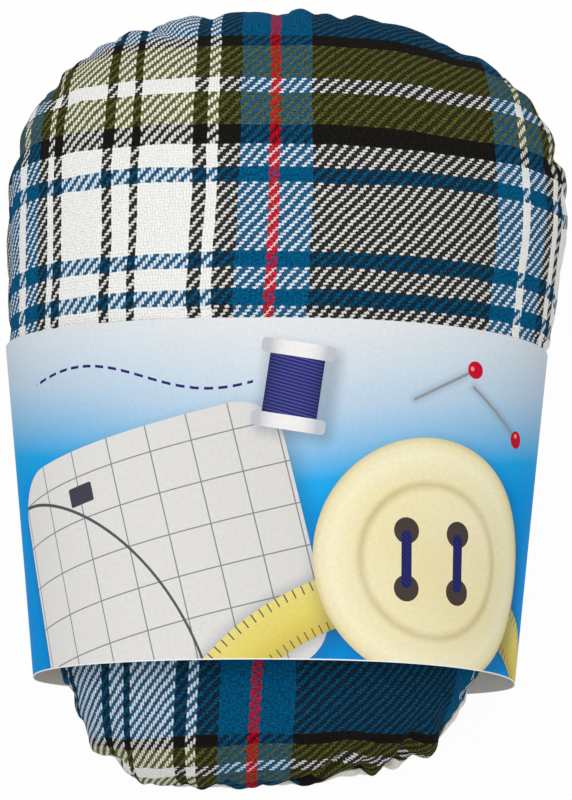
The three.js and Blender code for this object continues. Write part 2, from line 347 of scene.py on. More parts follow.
def bell(value, middle, width):
    """1 in the middle, falling away smoothly to both sides."""
    return np.exp(-((value - middle) / width) ** 2)


def path_run(path):
    """Distance along a path at each of its points."""
    return np.concatenate([[0], np.cumsum(np.linalg.norm(np.diff(path, axis=0), axis=1))])


def points_of(piece):
    points = np.empty(len(piece.data.vertices) * 3)
    piece.data.vertices.foreach_get("co", points)
    return points.reshape(-1, 3)


def move_points(piece, points):
    piece.data.vertices.foreach_set("co", np.ascontiguousarray(points).ravel())
    piece.data.update()


def pick(piece):
    """Select one piece alone and make it the active one."""
    bpy.ops.object.select_all(action="DESELECT")
    piece.select_set(True)
    bpy.context.view_layer.objects.active = piece


def new_grid(name, columns, rows):
    """A flat grid, from -1 to 1 both ways."""
    bpy.ops.object.select_all(action="DESELECT")
    bpy.ops.mesh.primitive_grid_add(x_subdivisions=columns, y_subdivisions=rows, size=2)
    piece = bpy.context.object
    piece.name = piece.data.name = name
    return piece


def merge_points(piece, distance, turn_outwards=False):
    """Merge the points that lie on each other, such as those of a grid's first and last columns."""
    pick(piece)
    bpy.ops.object.mode_set(mode="EDIT")
    bpy.ops.mesh.select_all(action="SELECT")
    bpy.ops.mesh.remove_doubles(threshold=distance)
    if turn_outwards:
        bpy.ops.mesh.normals_make_consistent(inside=False)
    bpy.ops.object.mode_set(mode="OBJECT")


def write_map(piece, name, first, second):
    """Write two numbers for each point into the piece's UV map."""
    layer = piece.data.uv_layers[0]
    layer.name = name
    corners = np.empty(len(piece.data.loops), dtype=np.int64)
    piece.data.loops.foreach_get("vertex_index", corners)
    layer.data.foreach_set("uv", np.stack([first[corners], second[corners]], 1).ravel())


# %% A grid to wind into each half of the cover
round_steps, climb_steps = 640, 46
# powers above 1 crowd the rows at the seam and at the pole, and the last number crowds the columns at both ends
seam_crowding, pole_crowding, end_crowding = 1.65, 1.5, 0.3


def turn_and_climb(points):
    """Turn round the rim from the narrow tip, and climb from the seam (0) to the pole (1).

    Rows crowd at the seam, where the gathers are, and at the pole, which lies just past the card's edge.
    """
    share = (points[:, 1] + 1) / 2
    return (points[:, 0] + 1) * np.pi, 1 - (1 - share ** seam_crowding) ** pole_crowding


cover_face = new_grid("cover_face", round_steps, climb_steps)
cover_underside = new_grid("cover_underside", round_steps, climb_steps)
bpy.ops.object.mode_set(mode="EDIT")
bpy.ops.mesh.select_all(action="SELECT")
bpy.ops.mesh.flip_normals()
bpy.ops.object.mode_set(mode="OBJECT")
print(len(cover_face.data.vertices), "points in each half")

# %% The smooth form of the ham
patch_share = 0.2


def rim_direction(turn):
    """Direction from the centre for each turn. Columns crowd together at both gathered ends."""
    share = turn / (2 * np.pi) - end_crowding * np.sin(2 * turn) / (4 * np.pi)
    return np.interp(share * rim_run[-1], rim_run, ray_angles), share * rim_run[-1]


def smooth_form(turn, climb, below):
    """Points of the stuffed form, and their places along the seam. On the underside, the last part of the
    climb is the flat patch that the ham lies on."""
    direction, run = rim_direction(turn)
    if below:
        angle = np.clip(climb / (1 - patch_share), 0, 1) * np.pi / 2
        patch = np.clip((climb - (1 - patch_share)) / patch_share, 0, 1)
        out = (belly_flat_share + (1 - belly_flat_share) * np.cos(angle)) * (1 - patch)
        z = seam_height * (1 - np.sin(angle))
    else:
        angle = climb * np.pi / 2
        out = np.maximum(np.cos(angle), 0) ** (2 / face_powers[0])
        z = seam_height + crown_rise * np.sin(angle) ** (2 / face_powers[1])
    length = np.interp(direction, ray_angles, ray_lengths) * out
    return np.stack([length * np.sin(direction), crown_y - length * np.cos(direction), z], 1), run


def seam_distance(turn, climb, below):
    """Length of cloth from the seam to each point, up its own column."""
    samples = 33
    steps = np.linspace(0, 1, samples)[None, :] * climb[:, None]
    flat_turn = np.repeat(turn[:, None], samples, 1).ravel()
    places = smooth_form(flat_turn, steps.ravel(), below)[0].reshape(len(turn), samples, 3)
    return np.linalg.norm(np.diff(places, axis=1), axis=2).sum(1)


crown = smooth_form(np.zeros(1), np.ones(1), below=False)[0][0]
print("the crown is", round(crown[2] / mm, 1), "mm above the table")

# %% [markdown]
# ## The swelling of the cloth
# Stuffing pushes the cloth out everywhere except where the seam and the card hold it. A simulation finds
# that swelling: the same form without its gathers is remeshed to even squares and blown up as cloth under
# pressure, with the band at the seam and the part inside the sleeve held still. Each point may move only a
# little. What it moved is kept as a field that the fine cover then follows.

# %% Blow up a plain egg
voxel_width = 5 * mm
swell_frames, swell_pressure, swell_cap = 20, 450, 2.6 * mm
swell_places, swell_moves = np.zeros((1, 3)), np.zeros((1, 3))


def plain_egg():
    """The stuffed form without its gathers, closed and in even squares."""
    bpy.ops.object.select_all(action="DESELECT")
    bpy.ops.mesh.primitive_uv_sphere_add(segments=96, ring_count=48, radius=1)
    egg = bpy.context.object
    egg.name = "egg"
    ball = points_of(egg)
    turn = np.arctan2(ball[:, 0], -ball[:, 1]) % (2 * np.pi)
    climb = np.arcsin(np.clip(np.abs(ball[:, 2]), 0, 1)) / (np.pi / 2)
    upper, _ = smooth_form(turn, climb, False)
    lower, _ = smooth_form(turn, climb, True)
    move_points(egg, np.where(ball[:, 2:] >= 0, upper, lower))
    egg.data.remesh_voxel_size = voxel_width
    bpy.ops.object.voxel_remesh()
    return egg


def held_share(points):
    """1 where the seam or the sleeve holds the cloth still."""
    at_seam = 1 - smooth_step(np.abs(points[:, 2] - seam_height), 3 * mm, 12 * mm)
    y = points[:, 1]
    in_sleeve = smooth_step(y, -104 * mm, -92 * mm) * (1 - smooth_step(y, 8 * mm, 16 * mm))
    on_table = 1 - smooth_step(points[:, 2], 0.5 * mm, 3 * mm)
    return np.maximum(np.maximum(at_seam, in_sleeve), on_table)


egg = plain_egg()
rest = points_of(egg)
group = egg.vertex_groups.new(name="held")
for index, share in enumerate(held_share(rest)):
    if share > 0.02:
        group.add([index], float(share), "REPLACE")
cloth = egg.modifiers.new("cloth", "CLOTH").settings
cloth.quality = 6
cloth.mass = 0.3
cloth.tension_stiffness = cloth.compression_stiffness = 8
cloth.tension_damping = cloth.compression_damping = 1
cloth.bending_stiffness = 0.5
cloth.use_pressure = True
# the faces are only 5 mm wide, so the pressure that moves them is far above the usual few units
cloth.uniform_pressure_force = swell_pressure
cloth.vertex_group_mass = "held"
cloth.effector_weights.gravity = 0
for step in range(1, swell_frames + 1):
    bpy.context.scene.frame_set(step)
blown = egg.evaluated_get(bpy.context.evaluated_depsgraph_get())
after = np.empty(len(blown.data.vertices) * 3)
blown.data.vertices.foreach_get("co", after)
moves = after.reshape(-1, 3) - rest
reach = np.linalg.norm(moves, axis=1)
print(len(rest), "points; they moved", round(reach.mean() / mm, 2), "mm on average and",
      round(reach.max() / mm, 2), "mm at most")
moves *= (np.minimum(reach, swell_cap) / np.maximum(reach, 1e-9))[:, None]
swell_places, swell_moves = rest, moves
bpy.context.scene.frame_set(1)
bpy.data.objects.remove(egg, do_unlink=True)

# %% Read the swelling at any place
neighbours = 10
swell_tree = kdtree.KDTree(len(swell_places))
for index, place in enumerate(swell_places):
    swell_tree.insert(place, index)
swell_tree.balance()


def swelling(points):
    """Move of the blown cloth near each point, averaged over its neighbours so that it stays smooth."""
    moves = np.zeros_like(points)
    for index, point in enumerate(points):
        near = swell_tree.find_n(point, neighbours)
        weights = np.array([math.exp(-(distance / voxel_width) ** 2) + 1e-9 for _, _, distance in near])
        rows = [row for _, row, _ in near]
        moves[index] = weights @ swell_moves[rows] / weights.sum()
    return moves


print("the swelling is read from", len(swell_places), "points")

# %% [markdown]
# ## Gathers
# The gathers are worked out along the seam: a row of nicks at uneven distances, close together round the
# narrow tip, wider apart round the wide end and hardly there at the sides. Between two nicks the cloth swells
# in a round hump. A coarse row reaches far up the cover and a fine row stays close to the seam, and each
# nick leans a little to one side as it rises. Both halves share the same nicks at the seam, so they meet.

# %% Rows of nicks along the seam
dice = np.random.default_rng(12)
seam_length = rim_run[-1]


def end_shares(run):
    """How near each place on the seam is to the narrow tip and to the wide tip, 0 to 1."""
    turn = 2 * np.pi * np.asarray(run) / seam_length
    narrow = np.clip((np.cos(turn) + 0.15) / 1.15, 0, 1) ** 0.8
    wide = np.clip((-np.cos(turn) + 0.3) / 1.3, 0, 1) ** 0.8
    return narrow, wide


def row_of_nicks(at_narrow, at_wide, at_side):
    """Places of nicks along the seam, with their usual distance in each part of it."""
    places, run = [], 0.0
    while run < seam_length:
        narrow, wide = end_shares(run)
        usual = at_side + (at_narrow - at_side) * narrow + (at_wide - at_side) * wide
        run += usual * dice.uniform(0.6, 1.4)
        places.append(run)
    places = np.array(places)
    return places * seam_length / places[-1]


coarse_nicks = row_of_nicks(12 * mm, 18 * mm, 26 * mm)
fine_nicks = row_of_nicks(5.5 * mm, 8 * mm, 13 * mm)
print(len(coarse_nicks), "coarse and", len(fine_nicks), "fine gathers")

# %% Swell of the cloth between the nicks
def three_rounds(nicks):
    """The nicks, with those of one round before and one after, so that nothing stops where the seam starts."""
    return np.concatenate([nicks - seam_length, nicks, nicks + seam_length])


def hump(run, rise, nicks, slants, sharpness):
    """0 in a nick and 1 on the hump between two nicks."""
    ring = three_rounds(nicks)
    run = run + rise * np.interp(run, ring, np.tile(slants, 3))
    after = np.clip(np.searchsorted(ring, run), 1, len(ring) - 1)
    left, right = ring[after - 1], ring[after]
    return np.maximum(np.sin(np.pi * (run - left) / (right - left)), 0) ** sharpness


coarse_slants = dice.uniform(-0.35, 0.35, len(coarse_nicks))
fine_slants = dice.uniform(-0.5, 0.5, len(fine_nicks))
coarse_force = dice.uniform(0.45, 1.3, len(coarse_nicks))


def gather_depth(run, rise, flip):
    """How far the cloth stands out (or is drawn in) at each point, in metres."""
    narrow, wide = end_shares(run)
    force = np.interp(run, three_rounds(coarse_nicks), np.tile(coarse_force, 3))
    deep = (0.3 + 1.9 * narrow + 1.7 * wide) * mm * force
    reach = (9 + 8 * narrow + 14 * wide) * mm
    coarse = hump(run, rise * flip, coarse_nicks, coarse_slants, 0.7) - 0.66
    fine = hump(run, rise * flip, fine_nicks, fine_slants, 0.8) - 0.6
    return (deep * coarse * np.exp(-(rise / reach) ** 1.3)
            + 0.3 * deep * fine * np.exp(-(rise / (0.45 * reach)) ** 1.2)
            + pleat_depth(run, rise * flip))


# %% The few folds that stand out from the rest
# place on the seam from the narrow tip, how deep, how wide and how far up the cloth, all in mm, and how much
# the fold leans along the seam as it rises
pleats = (
    (5, 3.2, 6.0, 22, -1.5), (31, 1.3, 6.0, 20, -0.8), (46, 3.8, 5.0, 18, -0.6), (62, -4.6, 8.0, 15, 0.0),
    (86, 1.8, 4.5, 14, 0.3), (-66, -2.0, 6.0, 14, 0.0), (-57, 1.8, 3.5, 14, -0.3), (-43, -2.2, 7.0, 12, 0.0),
    (-18, 1.5, 5.0, 12, -0.4), (-84, 2.0, 5.0, 14, -0.2),
    (290, 1.6, 5.5, 24, 0.2), (318, 1.2, 6.0, 26, -0.3), (346, 1.4, 6.0, 26, 0.1), (393, 2.2, 5.0, 28, 0.2),
    (406, -1.4, 5.0, 20, 0.0), (-384, 1.4, 5.0, 28, -0.3), (-355, 2.6, 5.5, 30, 0.3),
    (-331, 1.3, 5.0, 24, 0.2), (-317, 2.2, 5.0, 28, -0.2), (-284, 0.8, 6.0, 24, 0.2))


def seam_offset(run, place):
    """The shorter way round the seam from a place, given in mm, to each point."""
    return (run - place * mm + seam_length / 2) % seam_length - seam_length / 2


def pleat_depth(run, rise):
    """Each pleat is a furrow with a low swelling on either side of it."""
    depth = np.zeros_like(run)
    for place, deep, wide, reach, slope in pleats:
        share = (seam_offset(run + slope * rise, place) / (wide * mm)) ** 2
        depth -= deep * mm * (1 - 1.1 * share) * np.exp(-share) * bell(rise, 0, reach * mm)
    return depth


print(len(pleats), "named folds")

# %% The ham lies askew, and the card presses it
card_thickness, glue_thickness, card_clearance = 0.4 * mm, 0.1 * mm, 0.5 * mm
mouth_y, card_length, overlap_width = 14.5 * mm, 119 * mm, 20 * mm
wide_squeeze, top_squeeze = 1.3 * mm, 0.4 * mm


def lean(points):
    """The ham lies askew in its sleeve, and its left side is stuffed a little longer than its right."""
    x, y = points[:, 0].copy(), points[:, 1].copy()
    towards_tip = np.clip(-40 * mm - y, 0, None)
    points[:, 0] -= 0.045 * towards_tip ** 2 / (towards_tip + 20 * mm)
    points[:, 0] += 2.2 * mm * np.sin(np.pi * np.clip((y - 20 * mm) / (160 * mm), 0, 1))
    points[:, 0] += 0.026 * x * smooth_step(y, 30 * mm, 80 * mm)
    points[:, 0] += 0.8 * mm * smooth_step(-x, 60 * mm, 90 * mm) * bell(y, 68 * mm, 16 * mm)
    wide = smooth_step(y, 60 * mm, 125 * mm)
    narrow = smooth_step(-y, 95 * mm, 135 * mm)
    narrow_tip = smooth_step(-y, 118 * mm, 140 * mm)
    points[:, 1] += wide * np.where(x < 0, -0.03 * x + 0.1 * mm, 0.6 * mm)
    points[:, 1] += narrow * (0.05 * x - 0.3 * mm)
    # bumps of the outline at both ends: place across the ham, width, and how far towards +y, in mm
    for share, place, width, height in ((wide, 58, 14, -1.6), (narrow, 2, 22, 2.2), (narrow, -50, 16, -1.3),
                                        (narrow, 50, 16, -1.3), (narrow_tip, 30, 8, 2.6)):
        points[:, 1] += share * height * mm * bell(x / mm, place, width)


def mouth_path(half_width, widest_z, top_z, powers, aside):
    """Points round one mouth of the sleeve, from the inner end of the overlap, over the top, to the outer."""
    flat = np.stack([np.linspace(0, 1, 12, endpoint=False) * half_width * belly_flat_share, np.zeros(12)], 1)
    curl = np.linspace(-np.pi / 2, 0, 60, endpoint=False)
    side = np.stack([half_width * (belly_flat_share + (1 - belly_flat_share) * np.cos(curl)),
                     widest_z * (1 + np.sin(curl))], 1)
    turn = np.linspace(0, np.pi / 2, 160)
    arch = np.stack([half_width * np.abs(np.cos(turn)) ** (2 / powers[0]),
                     widest_z + (top_z - widest_z) * np.sin(turn) ** (2 / powers[1])], 1)
    half = np.concatenate([flat, side, arch])
    half = half[half[:, 0] + half[:, 1] > overlap_width / 2]
    inner = card_thickness + glue_thickness
    start = np.array([[overlap_width / 2, inner], [0, inner], [-overlap_width / 2, inner]])
    end = np.array([[overlap_width / 2, 0], [0, 0], [-overlap_width / 2, 0]])
    left = half * (-1, 1)
    path = np.concatenate([start, left, half[::-1][1:], end])
    path[:, 0] += aside * smooth_step(path[:, 1], 0, 30 * mm)
    return path


def spaced(path, columns):
    """Points at equal steps along a path, and their distances from its highest point."""
    run = path_run(path)
    crest = run[np.argmax(path[:, 1])]
    half = columns // 2
    stops = np.concatenate([np.linspace(0, crest, half, endpoint=False),
                            np.linspace(crest, run[-1], columns - half)])
    return np.stack([np.interp(stops, run, path[:, k]) for k in (0, 1)], 1), stops - crest


half_at_mouth = outline_half_width(np.array([mouth_y]))[0]
top_at_mouth = face_height(np.array([0.0]), np.array([mouth_y]))[0]
room = card_clearance + card_thickness
narrow_half_width, narrow_widest_z, narrow_top = 86.9 * mm, 38 * mm, 107.1 * mm
wide_path = mouth_path(half_at_mouth + room - wide_squeeze, seam_height, top_at_mouth + room - top_squeeze,
                       (2.32, 2.2), -1.2 * mm)
narrow_path = mouth_path(narrow_half_width, narrow_widest_z, narrow_top, (2.4, 2.2), -0.6 * mm)
columns, rows = 421, 41
wide_points, wide_run = spaced(wide_path, columns)
narrow_points, narrow_run = spaced(narrow_path, columns)
print("blank:", round((wide_run[-1] - wide_run[0]) / mm), "mm at the wide mouth,",
      round((narrow_run[-1] - narrow_run[0]) / mm), "mm at the narrow one, and",
      round(card_length / mm), "mm long")


def press_into_sleeve(points):
    """Keep the cloth inside the card, with a small bulge where it comes out of the wide mouth."""
    middle_z, cloth_gap = 45 * mm, 0.5 * mm
    held_past_mouth, bulge, bulge_reach, bulge_slope = 3 * mm, 3.5 * mm, 2.5 * mm, 0.35
    share = np.clip((mouth_y - points[:, 1]) / card_length, 0, 1)
    angle = np.arctan2(points[:, 2] - middle_z, points[:, 0])
    room_round = []
    for mouth in (wide_points, narrow_points):
        around = np.arctan2(mouth[:, 1] - middle_z, mouth[:, 0])
        order = np.argsort(around)
        radius = np.hypot(mouth[:, 0], mouth[:, 1] - middle_z)
        room_round.append(np.interp(angle, around[order], radius[order], period=2 * np.pi))
    limit = room_round[0] * (1 - share) + room_round[1] * share - card_thickness - cloth_gap
    past = np.clip(points[:, 1] - mouth_y - held_past_mouth, 0, None)
    limit += bulge * (1 - np.exp(-past / bulge_reach)) + bulge_slope * past
    radius = np.hypot(points[:, 0], points[:, 2] - middle_z)
    held = (points[:, 1] > mouth_y - card_length - 0.5 * mm) & (points[:, 2] > 2.5 * mm) & (radius > limit)
    scale = np.where(held, limit / np.maximum(radius, 1e-6), 1)
    points[:, 0] *= scale
    points[:, 2] = middle_z + (points[:, 2] - middle_z) * scale
    return int(held.sum())


# %% Lay the cloth on the form
def outward_normals(piece):
    """Normals of the grid, made equal where its first and last columns will meet and at the pole."""
    normals = np.empty(len(piece.data.vertices) * 3)
    piece.data.vertex_normals.foreach_get("vector", normals)
    grid = normals.reshape(climb_steps + 1, round_steps + 1, 3)
    joined = grid[:, 0] + grid[:, -1]
    grid[:, 0] = grid[:, -1] = joined / np.linalg.norm(joined, axis=1)[:, None]
    grid[-1] = grid[-1].sum(0) / np.linalg.norm(grid[-1].sum(0))
    return grid.reshape(-1, 3)


def peeping(run):
    """1 at the places where the underside peeps out past the tartan."""
    share = np.zeros_like(run)
    for place, width in ((30, 7), (47, 4), (74, 9)):
        share = np.maximum(share, bell(seam_offset(run, place), 0, width * mm))
    return share


def gathered_cover(piece, below):
    """The smooth form at each point of the grid, and the same with all that the sewing and stuffing add."""
    turn, climb = turn_and_climb(points_of(piece))
    smooth, run = smooth_form(turn, climb, below)
    rise = seam_distance(turn, climb, below)
    move_points(piece, smooth)
    outward = outward_normals(piece)
    direction = rim_direction(turn)[0]
    radial = np.stack([np.sin(direction), -np.cos(direction), 0 * turn], 1)
    near = np.exp(-rise / (3 * mm))[:, None]
    outward = outward * (1 - near) + radial * near
    outward /= np.linalg.norm(outward, axis=1)[:, None]
    depth = gather_depth(run, rise, -1 if below else 1)
    groove = 1.2 * mm * np.exp(-rise / (3.5 * mm))
    # the smooth part lies a little deeper than the form, because the gathers swell up past it
    inset = 0.9 * mm * (rise > 0)[:, None] * (1 - near)
    final = smooth + swelling(smooth) - outward * inset
    narrow, wide = end_shares(run)
    if below:
        # the cotton is less gathered, so it peeps out where the tartan is drawn in
        depth = depth * (1 - 0.65 * narrow * (1 - np.exp(-rise / (2 * mm))))
        final += outward * (peeping(run) * 2.2 * mm * bell(rise, 4 * mm, 4 * mm))[:, None]
    final += outward * (depth - groove)[:, None]
    # the tartan is pulled down over the narrow end, less so where the cotton peeps out
    final[:, 2] -= 6.5 * mm * narrow * (1 - peeping(run)) * np.exp(-rise / (14 * mm))
    # the seam line itself rises and falls a little from nick to nick
    sway = (hump(run, 0 * rise, coarse_nicks, coarse_slants, 1) - 0.5) * (0.4 + 1.2 * narrow + 0.9 * wide)
    final[:, 2] += sway * mm * np.exp(-rise / (8 * mm))
    lean(final)
    pressed = press_into_sleeve(final)
    if below:
        # nothing sinks into the table, and the part inside the card keeps clear of the card's lap
        final[:, 2] = np.maximum(final[:, 2], 0)
        lift = 1.4 * mm * (1 - smooth_step(final[:, 1], 20.5 * mm, 34.5 * mm))
        final[:, 2] = np.where(final[:, 2] < 6 * mm, np.maximum(final[:, 2], lift), final[:, 2])
    print(piece.name, "is held by the card at", pressed, "points")
    return smooth, final


def add_cloth_map(piece, smooth, height):
    """UV map in metres of cloth: across the ham, and along it from the crown."""
    across = cloth_run(smooth[:, 0], smooth[:, 1], height, True)
    along = cloth_run(smooth[:, 0], smooth[:, 1], height, False)
    # woven cloth gives: the gathers draw the tartan a few millimetres askew at the right of the wide end, and
    # at both sides of the narrow end they draw it towards the middle
    x, y = smooth[:, 0], smooth[:, 1]
    right = smooth_step(x, 15 * mm, 70 * mm)
    across += smooth_step(x, -25 * mm, 10 * mm) * (1.2 * mm + 0.024 * x) * smooth_step(y, 45 * mm, 95 * mm)
    across -= 1.0 * mm * right * bell(y, 48 * mm, 20 * mm)
    along += 1.8 * mm * right * bell(y, 84 * mm, 14 * mm)
    towards_narrow = smooth_step(-y, 60 * mm, 100 * mm)
    across += 5.6 * mm * np.sign(x) * smooth_step(np.abs(x), 25 * mm, 70 * mm) * towards_narrow
    near_tip = smooth_step(y, -138 * mm, -126 * mm) * towards_narrow
    along -= 2.1 * mm * near_tip * bell(x, -36 * mm, 26 * mm)
    write_map(piece, "cloth", across, along)
    return across, along


for piece, below, height in ((cover_face, False, face_height), (cover_underside, True, belly_height)):
    smooth, final = gathered_cover(piece, below)
    seam_row = final[:round_steps]
    across, along = add_cloth_map(piece, smooth, height)
    move_points(piece, final)
    merge_points(piece, 0.002 * mm)
    low, high = final.min(0) / mm, final.max(0) / mm
    print(piece.name, "spans", low.round(1), "to", high.round(1), "mm; cloth reaches",
          round(across.max() / mm), "by", round(along.max() / mm), "mm from the crown")

# %% [markdown]
# ## Tartan
# The cloth is a two-and-two twill: every yarn passes over two and under two, one step further on in each
# row, so that the floats line up in diagonals. Where both yarns have one colour the cloth is plain, and where
# they differ it is made of slanting dashes. A flat picture of checks would miss this, so the material counts
# the yarns: the cloth map gives the length of cloth, the whole part of that over the yarn's width is the
# number of the yarn, and a remainder by four says which of the two yarns lies on top.

# %% Yarn colours and the order of the stripes
yarn = {
    "B": srgb(4, 86, 127),
    "K": srgb(25, 24, 21),
    "G": srgb(98, 98, 42),
    "W": srgb(248, 248, 244),
    "R": srgb(192, 8, 40),
}
warp_width, weft_width = 0.96 * mm, 1.13 * mm
warp_start, weft_start = -137.5 * mm, -197.6 * mm
warp_stripes = ("K21 B11 W4 B8 K5 W4 K3 W18 K4 W7 K4 W20 K4 W5 K7 B11 R5 B11 "
                "K70 B12 W5 B10 K4 W5 K3 W20 K4")
weft_stripes = ("B10 K5 G8 W4 G8 K4 B56 K7 G12 W6 G12 K7 W7 B5 W23 "
                "B5 W7 B5 W23 B5 W7 K7 G13 W6 G14 K6 B40")


def stripe_list(words):
    return [(word[0], int(word[1:])) for word in words.split()]


for title, words, width, start in (("warp", warp_stripes, warp_width, warp_start),
                                   ("weft", weft_stripes, weft_width, weft_start)):
    count = sum(number for _, number in stripe_list(words))
    print(title, count, "yarns, from", round(start / mm), "to", round((start + count * width) / mm), "mm")


# %% The nodes of a woven cloth
def stripe_colours(tree, words, yarn_number):
    """Colour of a yarn by its number, from a ramp with one sharp step for each stripe."""
    stripes = stripe_list(words)
    counts = [number for _, number in stripes]
    stops = [(sum(counts[:order]) / sum(counts), yarn[letter]) for order, (letter, _) in enumerate(stripes)]
    share = calc("DIVIDE", yarn_number + 0.5, sum(counts), clamp=True)
    return colour_ramp(tree, share, stops, "CONSTANT")


def noise(tree, scale, detail, vector, roughness=0.5):
    """Noise of about 0.3 to 0.7."""
    node = tree.nodes.new("ShaderNodeTexNoise")
    node.inputs["Scale"].default_value = scale
    node.inputs["Detail"].default_value = detail
    node.inputs["Roughness"].default_value = roughness
    wire(vector, node.inputs["Vector"])
    return Value(node.outputs[0])


def spread(tree, value, low, high):
    """Turn a noise into low to high."""
    node = tree.nodes.new("ShaderNodeMapRange")
    for socket, number in zip(node.inputs[1:5], (0.3, 0.7, low, high)):
        socket.default_value = number
    wire(value, node.inputs[0])
    return Value(node.outputs[0])


def float_top(tree, along, across, reach):
    """Roundness of a yarn where it floats over others: 1 on its crest, 0 at its edge and past its ends.
    along runs 0 to 2 over the float, across runs 0 to 1 over the yarn, and reach is half the float."""
    ends = (along - 1) / reach
    sides = (across - 0.5) * 2
    along_part, across_part = [calc("POWER", calc("ABSOLUTE", value), 4) for value in (ends, sides)]
    return calc("SUBTRACT", 1, along_part + across_part, clamp=True)


def yarn_grid(tree, pitches, starts, wander):
    """Yarn numbers and the place inside each yarn, from the cloth map."""
    cloth, across, along = map_axes(tree, "cloth")
    place = []
    for value, pitch, start, seed in zip((across, along), pitches, starts, (0.0, 3.7)):
        shift = tree.nodes.new("ShaderNodeVectorMath")
        shift.operation = "ADD"
        shift.inputs[1].default_value = (seed, seed, 0)
        wire(cloth, shift.inputs[0])
        count = (value - start) / pitch
        for scale, amount in zip((34, 150, 1300), wander):
            wave = noise(tree, scale, 2, shift.outputs[0]) - 0.5
            count = wave * amount + count
        place.append(count)
    numbers = [calc("FLOOR", value) for value in place]
    parts = [calc("FRACT", value) for value in place]
    return cloth, place, numbers, parts


def along_float(tree, place, other_number, shift):
    """Place along a yarn's float, from -0.5 to 3.5. The yarn lies on top from 0 to 2 and below after that."""
    steps = place - other_number + shift
    return calc("FLOORED_MODULO", steps, 4) - 0.5


# %% Which yarn of the tartan lies on top
tartan, tree = new_material("tartan_wool_twill")
cloth, place, number, part = yarn_grid(tree, (warp_width, weft_width), (warp_start, weft_start),
                                       (2.2, 0.9, 0.8))
warp_colour = stripe_colours(tree, warp_stripes, number[0])
weft_colour = stripe_colours(tree, weft_stripes, number[1])
# the red yarns are the thickest, and cover more of what they cross
channels = tree.nodes.new("ShaderNodeSeparateColor")
wire(warp_colour, channels.inputs[0])
redness = calc("SUBTRACT", channels.outputs[0], channels.outputs[1], clamp=True)
warp_reach = redness * 0.5 + 1.24
weft_reach = 1.1
warp_top = float_top(tree, along_float(tree, place[1], number[0], 1.5), part[0], warp_reach)
weft_top = float_top(tree, along_float(tree, place[0], number[1], -1.5), part[1], weft_reach)
warp_on_top = calc("GREATER_THAN", warp_top, 0.02)
crest = warp_on_top * warp_top + (1 - warp_on_top) * weft_top
height = calc("SQRT", crest)
top_colour = blend_colours(tree, warp_on_top, weft_colour, warp_colour)
under_colour = blend_colours(tree, warp_on_top, warp_colour, weft_colour)
print("yarns of the tartan:", len(tree.nodes), "nodes")


# %% How the yarns colour each other
def brightness(colour):
    grey = tree.nodes.new("ShaderNodeRGBToBW")
    wire(colour, grey.inputs[0])
    return Value(grey.outputs[0])


# at the edge of a float the darker yarn shows through, and the shade where the float dips is painted in with
# it, so a light yarn on dark ones looks like a row of grains
light = brightness(top_colour)
darker = blend_colours(tree, 1, warp_colour, weft_colour, "DARKEN")
low_crest, crest_span = 0.27, 0.42
# painted shade at the edges of the floats, partly the darker yarn showing through
edge = calc("DIVIDE", crest - low_crest, crest_span, clamp=True)
edge = (1 - edge) * (light * 0.85 + 0.15)
colour = blend_colours(tree, edge, top_colour, darker)

# painted bounce light: a white yarn takes on a tinge of the yarns round it, as light reflected from them
bounce_tinge = tree.nodes.new("ShaderNodeVectorMath")
bounce_tinge.operation = "MINIMUM"
bounce_tinge.inputs[1].default_value = (1, 1, 1)
wire(scaled(tree, under_colour, 4), bounce_tinge.inputs[0])
colour = blend_colours(tree, light * 0.24, colour, bounce_tinge.outputs[0], "MULTIPLY")

# each yarn is spun and dyed a little unevenly, and its nap lies in all directions, which shows most on the
# dark yarns
evenness = calc("SUBTRACT", 1, light * 0.94, clamp=True)
uneven = spread(tree, noise(tree, 260, 2, cloth), -0.12, 0.12)
nap = spread(tree, noise(tree, 1100, 2, cloth, 0.7), -0.8, 0.8)
mottle = (uneven + nap) * evenness + 1
# painted shade: the colour is darker where a yarn sinks between floats, in the hollows of the weave
depth = height * 0.16 + 0.86
shaded = scaled(tree, colour, mottle * depth)

# where both yarns are dark, hairs of the one below show on the one on top
darkness = calc("SUBTRACT", 1, brightness(under_colour) * 0.95, clamp=True)
hairs = spread(tree, noise(tree, 1500, 2, cloth, 0.7), -0.1, 0.45)
hairs = calc("MULTIPLY", hairs, darkness * evenness, clamp=True)
napped = blend_colours(tree, hairs, shaded, under_colour)
set_shader(tree, napped, 0.92, Specular_IOR_Level=0.03)
fuzz = noise(tree, 1100, 3, cloth, 0.65) * 0.5 + height
add_relief(tree, fuzz, 0.7, 0.35 * mm)
print("tartan:", len(tree.nodes), "nodes")

# %% [markdown]
# ## Cotton
# The underside is a plain, unbleached cotton: over one, under one, finer than the wool. The same counting of
# yarns serves, with a remainder by two instead of four. It shows only where it peeps past the tartan.

# %% The cotton material
cotton, tree = new_material("cream_cotton_weave")
cotton_yarn, hollow_shade = 0.55 * mm, 0.75
cloth, place, number, part = yarn_grid(tree, (cotton_yarn, cotton_yarn), (0, 0), (1.6, 0.6, 0.3))
over = calc("FLOORED_MODULO", number[0] + number[1], 2)
across = [calc("SINE", value * math.pi) for value in part]
first = over * calc("POWER", across[0], 0.6)
second = (1 - over) * calc("POWER", across[1], 0.6)
height = first + second
slubs = spread(tree, noise(tree, 420, 3, cloth), 0.94, 1.04)
share = (height * (1 - hollow_shade) + hollow_shade) * slubs
set_shader(tree, scaled(tree, srgb(250, 247, 236)[:3], share), 0.9, Specular_IOR_Level=0.25, Sheen_Weight=0.1)
add_relief(tree, height, 0.5, 0.2 * mm)
print("cotton:", len(tree.nodes), "nodes")


# %% Give the cloth its thickness
def thicken(piece, thickness, material_offset=0):
    """Turn the surface into a wall that lies inside it."""
    pick(piece)
    wall = piece.modifiers.new("thickness", "SOLIDIFY")
    wall.thickness, wall.offset = thickness, -1
    wall.material_offset = wall.material_offset_rim = material_offset
    bpy.ops.object.modifier_apply(modifier=wall.name)
    print(piece.name, len(piece.data.vertices), "points")


